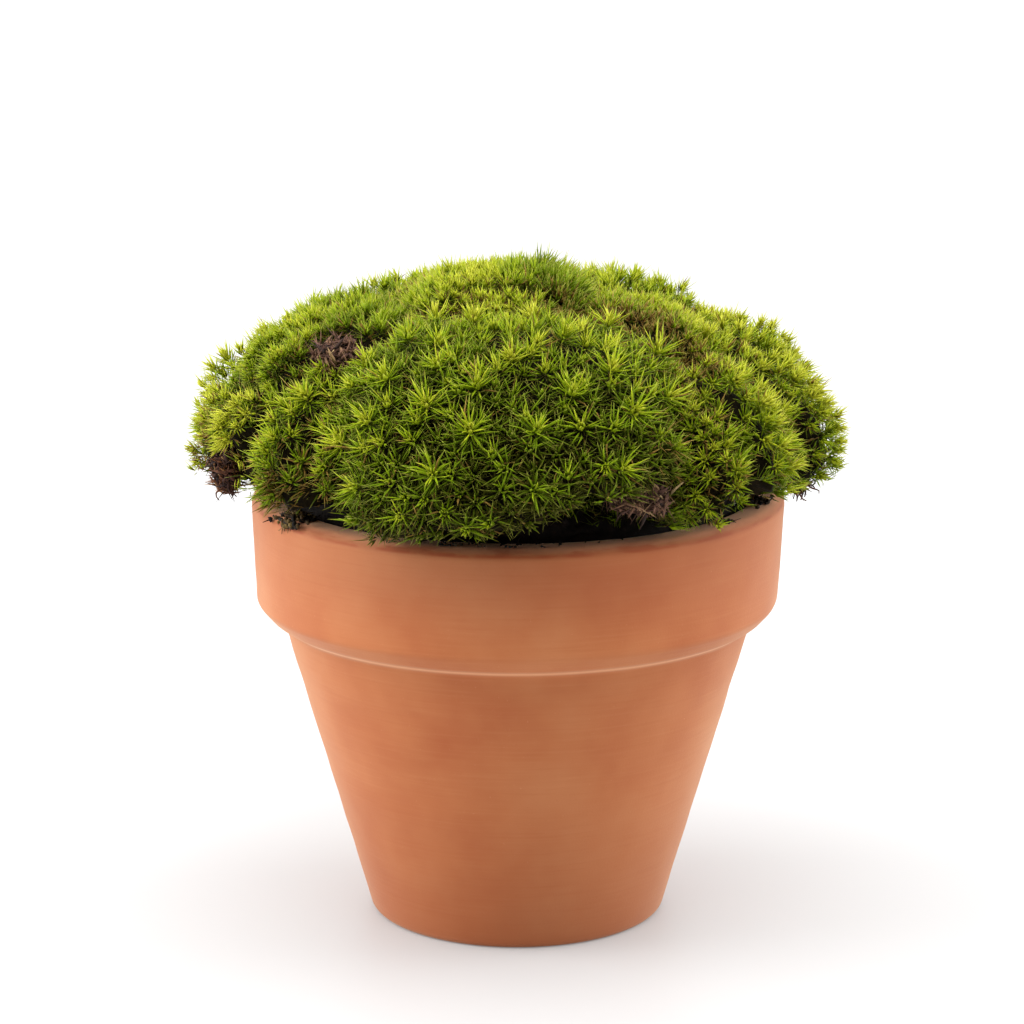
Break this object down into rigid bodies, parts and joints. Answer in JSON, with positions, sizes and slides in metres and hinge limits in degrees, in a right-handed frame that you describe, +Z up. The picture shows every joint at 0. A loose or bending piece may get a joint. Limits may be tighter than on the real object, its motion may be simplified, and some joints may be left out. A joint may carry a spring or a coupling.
{
  "type": "potted moss campion cushion",
  "caption": "Round clay pot filled to over its rim with a dense dome of moss-like cushion plant, its mounds of star-shaped needle leaves pressed together over a heap of soil.",
  "frame": {"origin": "middle of the flat foot of the pot, at the surface that it stands on", "axes": "+Z up along the pot's axis; -Y is the side that the picture shows; +X to the viewer's right"},
  "size_m": [0.1203, 0.1259, 0.1266],
  "materials": {
    "fired_clay": "matte unglazed terracotta with fine turning lines",
    "damp_soil": "crumbly damp dark soil",
    "leaf_green": "slightly glossy narrow leaves, paler at the tips",
    "dried_shoots": "dry, dull brown shoots",
    "rootlets": "dry, dull brown rootlets"
  },
  "bodies": {
    "root": {"pot": "fired_clay", "soil": "damp_soil", "mound_front": "leaf_green", "mound_front_left": "leaf_green", "mound_left": "leaf_green", "mound_upper_left": "leaf_green", "mound_crown": "leaf_green", "mound_upper_right": "leaf_green", "mound_front_right": "leaf_green", "mound_right": "leaf_green", "mound_upper_right_side": "leaf_green", "mound_back_right": "leaf_green", "mound_upper_back_right": "leaf_green", "mound_back": "leaf_green", "mound_back_left": "leaf_green", "mound_upper_back_left": "leaf_green", "mound_left_back": "leaf_green", "dried_shoots_left": "dried_shoots", "dried_shoots_front": "dried_shoots", "rootlets_left": "rootlets", "rootlets_right": "rootlets"}
  },
  "joints": []
}
